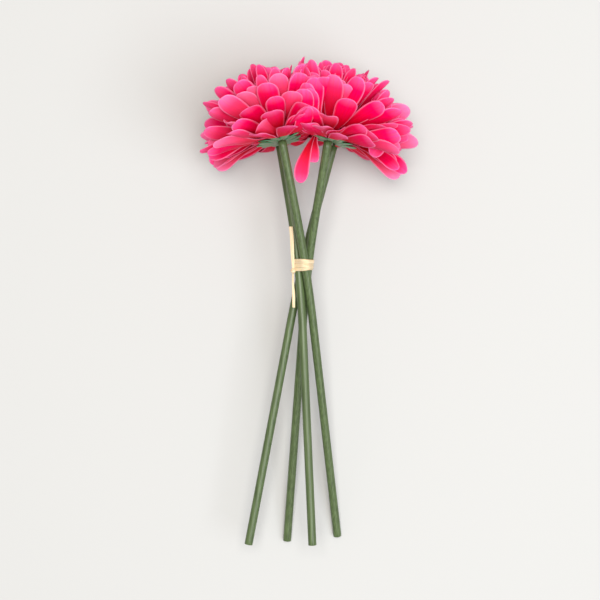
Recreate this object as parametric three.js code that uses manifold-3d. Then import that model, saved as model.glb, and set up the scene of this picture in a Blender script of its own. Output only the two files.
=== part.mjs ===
// A bunch of four cut gerberas tied with raffia, lying on a flat surface.
// Units are millimetres; +Z is up and +Y runs from the cut ends to the flower heads.
// Every flower is a stem whose thin top peg carries a star calyx, six stacked petal discs
// and a tuft of centre florets, the way a threaded flower head is put together.
import * as THREE from "three";
import { mergeVertices } from "three/addons/utils/BufferGeometryUtils.js";
import Module from "manifold-3d";

const wasm = await Module();
wasm.setup();

// ---- Driving dimensions -----------------------------------------------------------------
const DEG = Math.PI / 180;
const FRAME_SHIFT = [-4.267, 5.081, 0.004]; // puts the middle of the bunch over the origin
const STEM_R = 3.15;
const STEM_CUT_Y = -191;
const STEM_TOP_Y = 120;
const TIE_Y = 27;
const BEND_SPAN = 45; // half the length over which a stem turns at the tie
const STEM_SIDES = 6; // per half turn
const PEG_R = 1.1;
const PEG_TOP = 18.6;
const PEG_HOLE_R = 1.45;
const SURFACE_GAP = 0.25; // clearance of petals over the surface the bunch lies on
const NEIGHBOUR_GAP = 1.0; // clearance of petals from the middle plane between two heads
const CROWD_STEP = 1.35; // how much further in each next petal disc stays when heads crowd

// Each flower: stem points [x, z] at the cut end, at the tie and at the head, and the range
// of azimuths, in degrees round the head, where crowded outer petals droop instead of rising.
const FLOWERS = {
  upper_left: { cut: [29.8, 3.31], tie: [4.01, 58.3], head: [-14.5, 87], cutY: -189.5 },
  upper_right: {
    cut: [-9.7, 5.02],
    tie: [6.64, 51.6],
    head: [22.3, 84],
    cutY: -193,
    droop: [235, 305],
  },
  lower_left: { cut: [9.5, 46.3], tie: [-1.53, 51.8], head: [-17, 45], cutY: -192 },
  lower_right: { cut: [-40, 35.3], tie: [2.05, 45.4], head: [27, 43], cutY: -190.5 },
};

// Petal discs from the outside in: count, hub radius, hub height over the stem top, petal
// length and width, mean slope and half the change of slope from root to tip (degrees).
const ROWS = [
  { n: 14, r: 11.0, h: 5.2, length: 50, width: 13.0, slope: 0, curl: 5 },
  { n: 15, r: 9.8, h: 7.2, length: 53, width: 13.0, slope: 7, curl: 5 },
  { n: 14, r: 8.6, h: 9.2, length: 52, width: 12.5, slope: 24, curl: 6 },
  { n: 12, r: 7.3, h: 11.2, length: 50, width: 12.0, slope: 42, curl: 6 },
  { n: 10, r: 6.1, h: 13.2, length: 47, width: 10.5, slope: 58, curl: 6 },
  { n: 8, r: 4.9, h: 15.2, length: 42, width: 8.0, slope: 73, curl: 5 },
];
const TUFT = { n: 9, r: 3.1, h: 17.2, length: 37, width: 3.6, slope: 84, curl: 2 };
const CALYX = { n: 10, r: 6.5, h: 2.4, length: 12.5, width: 5.0, slope: 0, curl: 1 };
const DROOP = { slope: -20, curl: -14, steepest: -84 }; // the free outer petals hang back
const SHEET = 0.6; // thickness of petals and calyx
const HUB_THICKNESS = 1.2;
const ROOT_DEPTH = 1.0; // how far a petal's root reaches into its hub
const PETAL_OUTLINE = [[0, 0.36], [0.42, 0.8], [0.82, 1], [1, 0.46]];
const BRACT_OUTLINE = [[0, 0.7], [0.4, 1], [0.75, 0.7], [1, 0.16]];
const UPRIGHT = (Math.PI / 180) * 89;
const FLATNESS = 0.45; // how far a petal's middle may cut inside its curved surface
const BLADE_SPREAD = 0.46; // a petal keeps within this share of its own sector
const BAND_HALF = 4.6;
const BAND_GAP = 0.35;
const BAND_THICKNESS = 0.75;
const KNOT_CENTRE = [-7.4, 22.6, 54.6];
const KNOT_R = 2.2;
const TAILS = {
  raffia_tail_up: { width: 2.5, points: [[-7.6, 25.2, 55.5], [-7.3, 40, 56.4], [-7.1, 57, 57.2]] },
  raffia_tail_down: { width: 2.2, points: [[-7.3, 20.0, 54.4], [-5.9, 8, 55.6], [-4.6, -6, 57.2]] },
};
const TAIL_THICKNESS = 0.5;

// ---- Materials --------------------------------------------------------------------------
const material = (color, roughness) =>
  new THREE.MeshStandardMaterial({ color, roughness, metalness: 0 });

// ---- Solids -----------------------------------------------------------------------------
// A closed solid from a three.js geometry; faces that point inwards are turned round.
function solidOf(geometry) {
  const bare = geometry.clone();
  bare.deleteAttribute("normal");
  bare.deleteAttribute("uv");
  const merged = mergeVertices(bare, 1e-4);
  const vertProperties = Float32Array.from(merged.attributes.position.array);
  const triVerts = Uint32Array.from(merged.index.array);
  const made = new wasm.Manifold(new wasm.Mesh({ numProp: 3, vertProperties, triVerts }));
  if (made.volume() >= 0) return made;
  for (let i = 0; i < triVerts.length; i += 3) {
    const keep = triVerts[i + 1];
    triVerts[i + 1] = triVerts[i + 2];
    triVerts[i + 2] = keep;
  }
  return new wasm.Manifold(new wasm.Mesh({ numProp: 3, vertProperties, triVerts }));
}

function geometryOf(solid) {
  const mesh = solid.getMesh();
  const geometry = new THREE.BufferGeometry();
  geometry.setAttribute("position", new THREE.BufferAttribute(mesh.vertProperties, 3));
  geometry.setIndex(new THREE.BufferAttribute(mesh.triVerts, 1));
  geometry.computeVertexNormals();
  return geometry;
}

const bunch = new THREE.Group();
bunch.name = "gerbera_bunch";

function addNode(name, geometry, mat) {
  geometry.translate(...FRAME_SHIFT);
  const mesh = new THREE.Mesh(geometry, mat);
  mesh.name = name;
  bunch.add(mesh);
}

// ---- Stems ------------------------------------------------------------------------------
// A straight leg on each side of the tie, with a smooth change of slope around it.
function bend(cut, tie, head, y) {
  const before = (tie - cut) / (TIE_Y - STEM_CUT_Y);
  const after = (head - tie) / (STEM_TOP_Y - TIE_Y);
  const d = y - TIE_Y;
  const corner = ((after - before) * BEND_SPAN) / 4;
  if (d < -BEND_SPAN) return tie - corner + before * d;
  if (d > BEND_SPAN) return tie - corner + after * d;
  const blend = (after - before) / (4 * BEND_SPAN);
  return tie - corner + before * d + blend * (d + BEND_SPAN) ** 2;
}

function stemPoint(flower, y) {
  const x = bend(flower.cut[0], flower.tie[0], flower.head[0], y);
  const z = bend(flower.cut[1], flower.tie[1], flower.head[1], y);
  return new THREE.Vector3(x, y, z);
}

// The head's frame: origin at the stem top, axis along the stem; azimuth 0 is up, 90 right.
function headFrame(flower) {
  const origin = stemPoint(flower, STEM_TOP_Y);
  const below = stemPoint(flower, STEM_TOP_Y - 2);
  const axis = origin.clone().sub(below).normalize();
  const right = new THREE.Vector3().crossVectors(axis, new THREE.Vector3(0, 0, 1)).normalize();
  const up = new THREE.Vector3().crossVectors(right, axis).normalize();
  return { origin, axis, up, right };
}

function tube(path, radius, steps) {
  const circle = new THREE.Shape();
  circle.absarc(0, 0, radius, 0, 2 * Math.PI, false);
  return new THREE.ExtrudeGeometry(circle, {
    steps,
    curveSegments: STEM_SIDES,
    bevelEnabled: false,
    extrudePath: path,
  });
}

function stemSolid(flower, radius, fromY, toY, steps) {
  const points = [];
  for (let i = 0; i <= steps; i++) {
    points.push(stemPoint(flower, fromY + ((toY - fromY) * i) / steps));
  }
  return solidOf(tube(new THREE.CatmullRomCurve3(points), radius, steps));
}

function turnToHead(geometry, frame) {
  const basis = new THREE.Matrix4().makeBasis(frame.up, frame.right, frame.axis);
  geometry.applyMatrix4(basis);
  geometry.translate(frame.origin.x, frame.origin.y, frame.origin.z);
  return geometry;
}

function addStem(name, flower, frame) {
  const stalk = stemSolid(flower, STEM_R, flower.cutY, STEM_TOP_Y, 14);
  const peg = new THREE.CylinderGeometry(PEG_R, PEG_R, PEG_TOP + 3, 10);
  peg.rotateX(Math.PI / 2);
  peg.translate(0, 0, (PEG_TOP - 3) / 2);
  const whole = stalk.add(solidOf(turnToHead(peg, frame)));
  addNode(name + "_stem", geometryOf(whole), material(0x5f6c4a, 0.45));
}

// ---- Crowding: planes that petals of one head may not cross --------------------------------
function crowdPlanes(frames, name) {
  const here = frames[name];
  const centre = here.origin.clone().addScaledVector(here.axis, 30);
  const planes = [];
  for (const [other, frame] of Object.entries(frames)) {
    if (other === name) continue;
    const there = frame.origin.clone().addScaledVector(frame.axis, 30);
    const normal = there.clone().sub(centre).normalize();
    const middle = there.clone().add(centre).multiplyScalar(0.5);
    planes.push({ normal, limit: normal.dot(middle) - NEIGHBOUR_GAP, shared: true });
  }
  planes.push({ normal: new THREE.Vector3(0, 0, -1), limit: -SURFACE_GAP, shared: false });
  return planes;
}

function radial(frame, azimuth) {
  const out = frame.up.clone().multiplyScalar(Math.cos(azimuth));
  return out.addScaledVector(frame.right, Math.sin(azimuth));
}

// The range of slopes [from, to] at which a petal would cross a plane, or null when clear.
function crossingSlopes(frame, plane, row, azimuth, inset) {
  const a = plane.normal.dot(radial(frame, azimuth));
  const b = plane.normal.dot(frame.axis);
  const room = plane.limit - inset - plane.normal.dot(frame.origin);
  const half = Math.abs(row.curl) * DEG;
  const reach = (row.length * Math.sin(half)) / half;
  const q = (room - row.r * a - row.h * b) / reach;
  const size = Math.hypot(a, b);
  if (q >= size) return null;
  const lean = Math.atan2(b, a);
  const swing = Math.acos(Math.max(-1, q / size));
  return [lean - swing, lean + swing];
}

function crosses(range, slope) {
  return range !== null && slope > range[0] && slope < range[1];
}

// The least slope, over a petal's own sector, that keeps it clear of every plane.
function risingSlope(head, row, level, azimuth, sector) {
  let slope = row.slope * DEG;
  for (const plane of head.planes) {
    for (const turn of [-0.5, -0.25, 0, 0.25, 0.5]) {
      const inset = CROWD_STEP * level;
      const range = crossingSlopes(head.frame, plane, row, azimuth + turn * sector, inset);
      if (crosses(range, slope)) slope = range[1];
    }
  }
  return Math.min(slope, UPRIGHT);
}

function droopingSlope(head, row, azimuth, sector) {
  let slope = DROOP.slope * DEG;
  for (const plane of head.planes) {
    for (const turn of [-0.5, 0, 0.5]) {
      const range = crossingSlopes(head.frame, plane, row, azimuth + turn * sector, 0);
      if (crosses(range, slope)) slope = range[0];
    }
  }
  return Math.max(slope, DROOP.steepest * DEG);
}

// Outer petals droop where they are free, over the surface, or where the flower says so.
function outerRises(head, row, azimuth) {
  const turn = THREE.MathUtils.euclideanModulo(azimuth / DEG, 360);
  const droop = head.flower.droop;
  if (droop && turn > droop[0] && turn < droop[1]) return false;
  return head.planes.some((plane) => {
    const range = crossingSlopes(head.frame, plane, row, azimuth, 0);
    return plane.shared && crosses(range, DROOP.slope * DEG);
  });
}

function angleBetween(a, b) {
  return Math.abs(THREE.MathUtils.euclideanModulo(a - b + Math.PI, 2 * Math.PI) - Math.PI);
}

// ---- Petals -----------------------------------------------------------------------------
// The petals of every disc, each no flatter than the petals it lies over.
function arrangePetals(head) {
  const discs = [];
  [...ROWS, TUFT].forEach((row, level) => {
    const sector = (2 * Math.PI) / row.n;
    const phase = (level * 0.37 + head.index * 0.21) * Math.PI;
    const below = level ? discs[level - 1] : [];
    const petals = [];
    for (let i = 0; i < row.n; i++) {
      const azimuth = phase + i * sector;
      let slope = risingSlope(head, row, level, azimuth, sector);
      for (const petal of below) {
        const near = angleBetween(petal.azimuth, azimuth) < BLADE_SPREAD * (petal.sector + sector);
        if (near) slope = Math.max(slope, petal.slope);
      }
      petals.push({ azimuth, sector, slope, curl: row.curl * DEG });
    }
    discs.push(petals);
  });
  return discs;
}

function droopOuterPetals(head, petals) {
  const row = { ...ROWS[0], curl: DROOP.curl };
  for (const petal of petals) {
    if (outerRises(head, row, petal.azimuth)) continue;
    petal.slope = droopingSlope(head, row, petal.azimuth, petal.sector);
    petal.curl = DROOP.curl * DEG;
  }
}

function arrangeBracts(outerPetals) {
  const sector = (2 * Math.PI) / CALYX.n;
  const bracts = [];
  for (let i = 0; i < CALYX.n; i++) {
    const azimuth = 0.2 + i * sector;
    let slope = CALYX.slope * DEG;
    for (const petal of outerPetals) {
      const near = angleBetween(petal.azimuth, azimuth) < BLADE_SPREAD * (petal.sector + sector);
      if (near) slope = Math.min(slope, petal.slope + 22 * DEG);
    }
    bracts.push({ azimuth, sector, slope, curl: CALYX.curl * DEG });
  }
  return bracts;
}

// The flat ring in the middle of a disc, with one side per petal and a hole for the peg.
function hubSolid(row, turn) {
  const corners = [];
  for (let i = 0; i < row.n; i++) {
    const azimuth = turn + ((i + 0.5) * 2 * Math.PI) / row.n;
    corners.push(new THREE.Vector2(row.r * Math.cos(azimuth), row.r * Math.sin(azimuth)));
  }
  const sheet = new THREE.Shape(corners);
  const hole = new THREE.Path();
  hole.absarc(0, 0, PEG_HOLE_R, 0, 2 * Math.PI, true);
  sheet.holes.push(hole);
  const settings = { depth: HUB_THICKNESS, steps: 1, bevelEnabled: false, curveSegments: 4 };
  const hub = new THREE.ExtrudeGeometry(sheet, settings);
  hub.translate(0, 0, row.h - HUB_THICKNESS / 2);
  return solidOf(hub);
}

// Radius, height and slope at distance s along a petal whose slope changes evenly.
function curlPoint(row, petal, s) {
  const start = petal.slope - petal.curl;
  const rate = (2 * petal.curl) / row.length;
  const angle = start + rate * s;
  const r = row.r + (Math.sin(angle) - Math.sin(start)) / rate;
  const h = row.h - (Math.cos(angle) - Math.cos(start)) / rate;
  return [r, h, angle];
}

// A thin blade laid along the petal's curl and curved round the axis; its root is in the hub.
function petalSolid(row, petal, outline) {
  const steps = outline.length - 1;
  const blade = new THREE.BoxGeometry(1, steps, SHEET, 1, steps, 1);
  const position = blade.attributes.position;
  for (let i = 0; i < position.count; i++) {
    const [along, width] = outline[Math.round(position.getY(i) + steps / 2)];
    const lift = position.getZ(i);
    const [r, h, angle] = curlPoint(row, petal, along * row.length);
    const tilt = along > 0 ? angle : 0;
    const radius = (along > 0 ? r : r - ROOT_DEPTH) - Math.sin(tilt) * lift;
    const height = h + Math.cos(tilt) * lift;
    const widest = Math.min(BLADE_SPREAD * petal.sector, Math.acos(1 - Math.min(1, FLATNESS / r)));
    const across = position.getX(i) * row.width * width;
    const turn = petal.azimuth + THREE.MathUtils.clamp(across / radius, -widest, widest);
    position.setXYZ(i, radius * Math.cos(turn), radius * Math.sin(turn), height);
  }
  return solidOf(blade);
}

function formDisc(row, petals, outline) {
  const parts = petals.map((petal) => petalSolid(row, petal, outline));
  parts.push(hubSolid(row, petals[0].azimuth));
  return geometryOf(wasm.Manifold.union(parts));
}

function addFlowerHead(name, head) {
  const discs = arrangePetals(head);
  droopOuterPetals(head, discs[0]);
  const calyx = formDisc(CALYX, arrangeBracts(discs[0]), BRACT_OUTLINE);
  addNode(name + "_calyx", turnToHead(calyx, head.frame), material(0x5f8c6a, 0.5));
  ROWS.forEach((row, level) => {
    const disc = turnToHead(formDisc(row, discs[level], PETAL_OUTLINE), head.frame);
    addNode(`${name}_petal_row_${level + 1}`, disc, material(0xf7306d, 0.5));
  });
  const tuft = turnToHead(formDisc(TUFT, discs[ROWS.length], PETAL_OUTLINE), head.frame);
  addNode(name + "_centre_tuft", tuft, material(0xd91d4e, 0.6));
}

// ---- Raffia -----------------------------------------------------------------------------
function bundleHull(grow, fromY, toY) {
  const stems = Object.values(FLOWERS).map((flower) =>
    stemSolid(flower, STEM_R + grow, fromY, toY, 4),
  );
  return wasm.Manifold.hull(stems);
}

function slab(fromY, toY) {
  const box = new THREE.BoxGeometry(80, toY - fromY, 80);
  box.translate(0, (fromY + toY) / 2, 52);
  return solidOf(box);
}

function addBand() {
  const outside = bundleHull(BAND_GAP + BAND_THICKNESS, TIE_Y - 7, TIE_Y + 7);
  const inside = bundleHull(BAND_GAP, TIE_Y - 9, TIE_Y + 9);
  const ring = outside.intersect(slab(TIE_Y - BAND_HALF, TIE_Y + BAND_HALF)).subtract(inside);
  addNode("raffia_wrap", geometryOf(ring), material(0xf6dcbb, 0.8));
}

function addKnot() {
  const ball = new THREE.SphereGeometry(KNOT_R, 12, 8);
  ball.scale(0.85, 1.05, 1);
  ball.translate(...KNOT_CENTRE);
  addNode("raffia_knot", ball, material(0xf0d3ac, 0.8));
}

function addTails() {
  for (const [name, tail] of Object.entries(TAILS)) {
    const path = new THREE.CatmullRomCurve3(tail.points.map((p) => new THREE.Vector3(...p)));
    const steps = 8;
    const strip = new THREE.BoxGeometry(tail.width, steps, TAIL_THICKNESS, 1, steps, 1);
    const position = strip.attributes.position;
    for (let i = 0; i < position.count; i++) {
      const p = path.getPoint((position.getY(i) + steps / 2) / steps);
      position.setXYZ(i, p.x + position.getX(i), p.y, p.z + position.getZ(i));
    }
    addNode(name, geometryOf(solidOf(strip)), material(0xe9cda3, 0.8));
  }
}

// ---- The bunch --------------------------------------------------------------------------
const frames = {};
for (const [name, flower] of Object.entries(FLOWERS)) frames[name] = headFrame(flower);

Object.entries(FLOWERS).forEach(([name, flower], index) => {
  const head = { flower, index, frame: frames[name], planes: crowdPlanes(frames, name) };
  addStem(name, flower, head.frame);
  addFlowerHead(name, head);
});
addBand();
addKnot();
addTails();

export default bunch;
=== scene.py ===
"""Looks for a tied bunch of four cut gerberas lying on a pale surface.

Runs in Blender 4.5. Sizes in the classes are millimetres and are turned to metres when a
mesh is made. The frame is the part's own: +Y from the cut ends to the heads, +Z up.
"""

import logging
import math
import random
from dataclasses import dataclass, field
from enum import Enum
from typing import Any, Optional, Sequence

import bmesh
import bpy
from bmesh.types import BMEdge, BMesh, BMVert
from mathutils import Matrix, Vector


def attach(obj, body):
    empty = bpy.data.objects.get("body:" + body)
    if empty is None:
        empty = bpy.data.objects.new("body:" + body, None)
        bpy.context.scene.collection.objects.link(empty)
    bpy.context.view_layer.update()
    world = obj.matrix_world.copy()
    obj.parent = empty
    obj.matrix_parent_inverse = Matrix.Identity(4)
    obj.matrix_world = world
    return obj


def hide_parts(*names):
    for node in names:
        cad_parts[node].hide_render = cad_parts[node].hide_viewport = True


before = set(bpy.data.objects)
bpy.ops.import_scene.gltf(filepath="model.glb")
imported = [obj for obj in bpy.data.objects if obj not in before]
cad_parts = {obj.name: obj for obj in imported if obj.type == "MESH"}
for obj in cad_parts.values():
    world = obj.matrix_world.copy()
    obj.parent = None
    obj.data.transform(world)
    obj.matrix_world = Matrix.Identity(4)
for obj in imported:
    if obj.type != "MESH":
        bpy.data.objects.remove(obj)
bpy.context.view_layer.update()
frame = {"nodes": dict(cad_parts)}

LOG = logging.getLogger("gerbera_bunch")
MM = 0.001
# The stem routes are measured from a zero of their own, which lies here in the part's frame.
FRAME_SHIFT = Vector((-4.267, 5.081, 0.004))
STEM_CUT_Y = -191.0
STEM_TOP_Y = 120.0
TIE_Y = 27.0
BEND_SPAN = 45.0  # half the length over which a stem turns at the tie


# ---- Colour and nodes ---------------------------------------------------------------------


def linear(hex_colour: str) -> tuple[float, float, float, float]:
    """Turns an sRGB hex colour to linear light.

    Args:
        hex_colour: Six hex digits, with or without a leading #.

    Returns:
        Red, green, blue and an alpha of 1.
    """
    digits = hex_colour.lstrip("#")
    channels = [int(digits[i : i + 2], 16) / 255 for i in (0, 2, 4)]
    light = [c / 12.92 if c <= 0.04045 else ((c + 0.055) / 1.055) ** 2.4 for c in channels]
    return (light[0], light[1], light[2], 1.0)


def add_node(
    tree: bpy.types.NodeTree,
    kind: str,
    settings: Optional[dict[str, Any]] = None,
    inputs: Optional[dict[Any, Any]] = None,
) -> bpy.types.Node:
    """Adds one shader node, sets it up and links it.

    Args:
        tree: The material's node tree.
        kind: The node's type name.
        settings: Attributes to set on the node.
        inputs: Socket name or index to a value, or to another node's output socket.

    Returns:
        The new node.
    """
    node = tree.nodes.new(kind)
    for name, value in (settings or {}).items():
        setattr(node, name, value)
    for name, value in (inputs or {}).items():
        if isinstance(value, bpy.types.NodeSocket):
            tree.links.new(value, node.inputs[name])
        else:
            node.inputs[name].default_value = value
    return node


def blank_material(name: str) -> tuple[bpy.types.Material, bpy.types.NodeTree]:
    """Makes an empty node material.

    Args:
        name: The material's name.

    Returns:
        The material and its node tree.
    """
    material = bpy.data.materials.new(name)
    material.use_nodes = True
    material.node_tree.nodes.clear()
    return material, material.node_tree


def end_material(
    tree: bpy.types.NodeTree,
    pattern: bpy.types.NodeSocket,
    strength: float,
    depth_mm: float,
    inputs: dict[str, Any],
) -> None:
    """Ends a material: the relief of its pattern, its shader and its output.

    Args:
        tree: The material's node tree.
        pattern: The output that the relief follows.
        strength: How much of the relief shows.
        depth_mm: How deep the relief is.
        inputs: The shader's own values and links.
    """
    height = {"Strength": strength, "Distance": depth_mm * MM, "Height": pattern}
    relief = add_node(tree, "ShaderNodeBump", inputs=height)
    coat = {**inputs, "Normal": relief.outputs["Normal"]}
    shader = add_node(tree, "ShaderNodeBsdfPrincipled", inputs=coat)
    add_node(tree, "ShaderNodeOutputMaterial", inputs={"Surface": shader.outputs["BSDF"]})


class Side(Enum):
    """Which cloth a finish is for: a petal's face, its back, or the centre's florets."""

    INNER = "inner"
    OUTER = "outer"
    CENTRE = "centre"


@dataclass(frozen=True)
class PetalCloth:
    """Dyed polyester cloth, heat-pressed.

    It looks matt and soft. The dye is deep at the root, partly as painted shade at the petals'
    bases, and thins towards the tip, which looks paler. The cut rim carries a paler painted
    highlight, and pressing leaves fine lengthwise lines.
    """

    side: Side
    # The root colour is partly dye and partly painted shade at the petals' bases.
    root: str = "D20024"
    middle: str = "EA0052"
    tip: str = "F84E8E"
    # The rim colour is a painted highlight along the petals' cut edges.
    rim: str = "FFA0D0"
    pale: str = "FF90BC"
    rim_highlight_wander: tuple[float, float] = (0.1, 3.04)  # narrowest and widest, in millimetres
    rim_highlight_strength: float = 0.4
    streak_strength: float = 0.5
    pale_tones: tuple[float, float] = (0.5, 1.15)  # where paling starts and would be full
    tip_bias: float = 2.4
    # Press lines in millimetres across, real ones are about 0.5 and would be too fine to show.
    vein_pitch: float = 1.3
    vein_run: float = 1.6  # how often a line changes along one petal
    vein_shift: float = 31.0  # how far apart in the pattern two petals lie
    roughness: float = 0.6
    depth_mm: float = 0.4

    def build(self) -> bpy.types.Material:
        """Makes the cloth's material.

        Returns:
            A material that reads the petal's own attributes.
        """
        material, tree = blank_material(f"heat_pressed_polyester_{self.side.value}")
        along, across, edge, tone = (
            add_node(
                tree,
                "ShaderNodeAttribute",
                {"attribute_type": "GEOMETRY", "attribute_name": name},
            ).outputs["Fac"]
            for name in ("along", "across_mm", "edge_mm", "tone")
        )
        # Deep at the root, partly painted shade at the petals' bases, to paler at the tip.
        dye = add_node(tree, "ShaderNodeValToRGB", inputs={"Fac": along})
        stops = dye.color_ramp.elements
        stops[0].position, stops[0].color = 0.42, linear(self.root)
        stops[1].position, stops[1].color = 1.0, linear(self.tip)
        stops.new(0.8).color = linear(self.middle)
        veins = self._veins(tree, along, across, tone)
        # The press lines break up the dye.
        streaked = add_node(
            tree,
            "ShaderNodeMixRGB",
            {"blend_type": "SOFT_LIGHT"},
            {
                "Fac": self.streak_strength,
                "Color1": dye.outputs["Color"],
                "Color2": veins.outputs["Color"],
            },
        )
        # Petals of a high tone pale towards their tips.
        power = {"operation": "POWER"}
        tipward = add_node(tree, "ShaderNodeMath", power, {0: along, 1: self.tip_bias})
        start, full = self.pale_tones
        reach = {"From Min": start, "From Max": full, "To Max": tipward.outputs["Value"]}
        lighter = add_node(tree, "ShaderNodeMapRange", inputs={"Value": tone, **reach})
        toned = add_node(
            tree,
            "ShaderNodeMixRGB",
            inputs={
                "Fac": lighter.outputs["Result"],
                "Color1": streaked.outputs["Color"],
                "Color2": linear(self.pale),
            },
        )
        # The painted rim highlight is narrow in some places and wide in others.
        narrow, wide = self.rim_highlight_wander
        spread = {"Value": veins.outputs["Fac"], "To Min": narrow, "To Max": wide}
        wander = add_node(tree, "ShaderNodeMapRange", inputs=spread)
        inward = {"Value": edge, "From Min": wander.outputs["Result"], "From Max": 0.0}
        rim = add_node(
            tree,
            "ShaderNodeMapRange",
            {"interpolation_type": "SMOOTHSTEP"},
            {**inward, "To Max": self.rim_highlight_strength},
        )
        cloth = add_node(
            tree,
            "ShaderNodeMixRGB",
            inputs={
                "Fac": rim.outputs["Result"],
                "Color1": toned.outputs["Color"],
                "Color2": linear(self.rim),
            },
        )
        coat = {
            "Base Color": cloth.outputs["Color"],
            "Roughness": self.roughness,
            "Specular IOR Level": 0.07,
            "Subsurface Weight": 0.2,
            "Subsurface Radius": (1.0, 0.25, 0.35),
            "Subsurface Scale": 0.003,
        }
        end_material(tree, veins.outputs["Fac"], 0.35, self.depth_mm, coat)
        return material

    def _veins(
        self,
        tree: bpy.types.NodeTree,
        along: bpy.types.NodeSocket,
        across: bpy.types.NodeSocket,
        tone: bpy.types.NodeSocket,
    ) -> bpy.types.Node:
        """Adds the fine lengthwise press lines of the cloth.

        Args:
            tree: The material's node tree.
            along: The share of the petal's length.
            across: The distance from the petal's middle, in millimetres.
            tone: The petal's own number, which gives it its own lines.

        Returns:
            The noise that draws the lines.
        """
        parts = {"X": across, "Y": along, "Z": tone}
        place = add_node(tree, "ShaderNodeCombineXYZ", inputs=parts).outputs["Vector"]
        scale = (1 / self.vein_pitch, self.vein_run, self.vein_shift)
        stretch = add_node(tree, "ShaderNodeMapping", inputs={"Vector": place, "Scale": scale})
        grain = {"Vector": stretch.outputs["Vector"], "Scale": 1.0, "Detail": 2.0}
        return add_node(tree, "ShaderNodeTexNoise", inputs=grain)


@dataclass(frozen=True)
class MouldedPolythene:
    """Green polythene, moulded.

    It looks satin, with a soft highlight down its length. The flow into the mould leaves faint
    lengthwise streaks of lighter and darker green, and the gloss drifts from place to place.
    """

    shade: str = "3B4C2D"
    body: str = "4B5E38"
    light: str = "5A6F46"
    streak_mm: tuple[float, float, float] = (0.9, 40.0, 0.9)
    cloud_mm: float = 35.7
    roughness: float = 0.42
    duller: float = 0.08
    glossier: float = 0.06
    depth_mm: float = 0.2

    def build(self) -> bpy.types.Material:
        """Makes the plastic's material.

        Returns:
            A material that reads Object coordinates.
        """
        material, tree = blank_material("moulded_polythene")
        place = add_node(tree, "ShaderNodeTexCoord").outputs["Object"]
        scale = tuple(1 / (MM * size) for size in self.streak_mm)
        lines = add_node(tree, "ShaderNodeMapping", inputs={"Vector": place, "Scale": scale})
        grain = {"Vector": lines.outputs["Vector"], "Scale": 1.0, "Detail": 3.0}
        streaks = add_node(tree, "ShaderNodeTexNoise", inputs=grain).outputs["Fac"]
        colour = add_node(tree, "ShaderNodeValToRGB", inputs={"Fac": streaks})
        stops = colour.color_ramp.elements
        stops[0].position, stops[0].color = 0.3, linear(self.shade)
        stops[1].position, stops[1].color = 0.72, linear(self.light)
        stops.new(0.5).color = linear(self.body)
        drift = {"Vector": place, "Scale": 1 / (MM * self.cloud_mm), "Detail": 2.0}
        cloud = add_node(tree, "ShaderNodeTexNoise", inputs=drift)
        gloss = add_node(
            tree,
            "ShaderNodeMapRange",
            inputs={
                "Value": cloud.outputs["Fac"],
                "To Min": self.roughness - self.glossier,
                "To Max": self.roughness + self.duller,
            },
        )
        coat = {
            "Base Color": colour.outputs["Color"],
            "Roughness": gloss.outputs["Result"],
            "IOR": 1.5,
        }
        end_material(tree, streaks, 0.25, self.depth_mm, coat)
        return material


@dataclass(frozen=True)
class CalyxSheet:
    """Thin green polythene sheet, die-cut.

    It looks satin and greyish in the middle. The cut edges let light through, and look like a
    brighter green line of uneven width.
    """

    body: str = "7C9474"
    edge: str = "2F8A58"
    mottle_mm: float = 3.125
    edge_least: float = 0.5
    edge_more: float = 1.6
    roughness: float = 0.42
    depth_mm: float = 0.3

    def build(self) -> bpy.types.Material:
        """Makes the sheet's material.

        Returns:
            A material that reads the calyx's own attributes and Object coordinates.
        """
        material, tree = blank_material("die_cut_polythene_sheet")
        own = {"attribute_type": "GEOMETRY", "attribute_name": "edge_mm"}
        edge = add_node(tree, "ShaderNodeAttribute", own).outputs["Fac"]
        place = add_node(tree, "ShaderNodeTexCoord").outputs["Object"]
        grain = {"Vector": place, "Scale": 1 / (MM * self.mottle_mm), "Detail": 3.0}
        mottle = add_node(tree, "ShaderNodeTexNoise", inputs=grain).outputs["Fac"]
        reach = add_node(
            tree,
            "ShaderNodeMath",
            {"operation": "MULTIPLY_ADD"},
            {0: mottle, 1: self.edge_more, 2: self.edge_least},
        )
        rim = add_node(
            tree,
            "ShaderNodeMapRange",
            {"interpolation_type": "SMOOTHSTEP"},
            {"Value": edge, "From Min": reach.outputs["Value"], "From Max": 0.0},
        )
        greens = {"Color1": linear(self.body), "Color2": linear(self.edge)}
        colour = add_node(
            tree, "ShaderNodeMixRGB", inputs={"Fac": rim.outputs["Result"], **greens}
        )
        coat = {"Base Color": colour.outputs["Color"], "Roughness": self.roughness}
        end_material(tree, mottle, 0.3, self.depth_mm, coat)
        return material


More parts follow.
